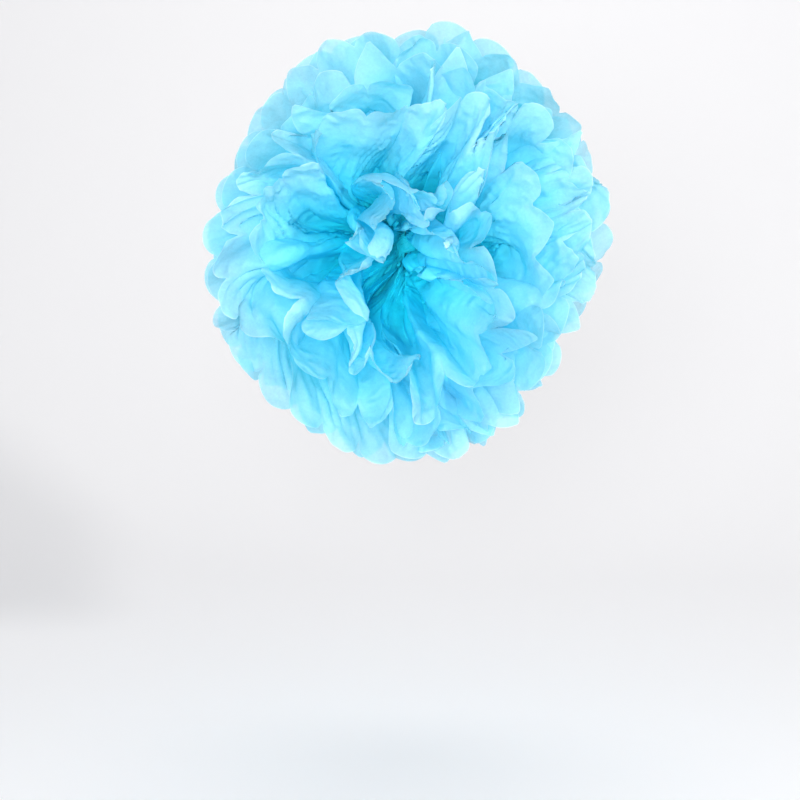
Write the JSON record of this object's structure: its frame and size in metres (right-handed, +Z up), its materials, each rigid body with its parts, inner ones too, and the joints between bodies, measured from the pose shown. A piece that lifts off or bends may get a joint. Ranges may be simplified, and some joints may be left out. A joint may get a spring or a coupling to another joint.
{
  "type": "tissue paper pom pom",
  "caption": "Round fluffy flower ball of pleated tissue paper sheets, tied in the middle with wire and hung by a small wire eye.",
  "frame": {"origin": "middle of the small eye that the tie wire hangs by, above the middle of the flower", "axes": "-Y the way the open flower faces, X along the pleats from the left half to the right half, +Z up along the seam between the halves"},
  "size_m": [0.2052, 0.2008, 0.2234],
  "materials": {
    "tissue_paper": "matte, translucent, softly creased sky blue tissue",
    "tie_wire": "thin soft craft wire"
  },
  "bodies": {
    "root": {"sheet_01": "tissue_paper", "sheet_02": "tissue_paper", "sheet_03": "tissue_paper", "sheet_04": "tissue_paper", "sheet_05": "tissue_paper", "sheet_06": "tissue_paper", "sheet_07": "tissue_paper", "sheet_08": "tissue_paper", "sheet_09": "tissue_paper", "sheet_10": "tissue_paper", "tie_wire": "tie_wire"}
  },
  "joints": []
}
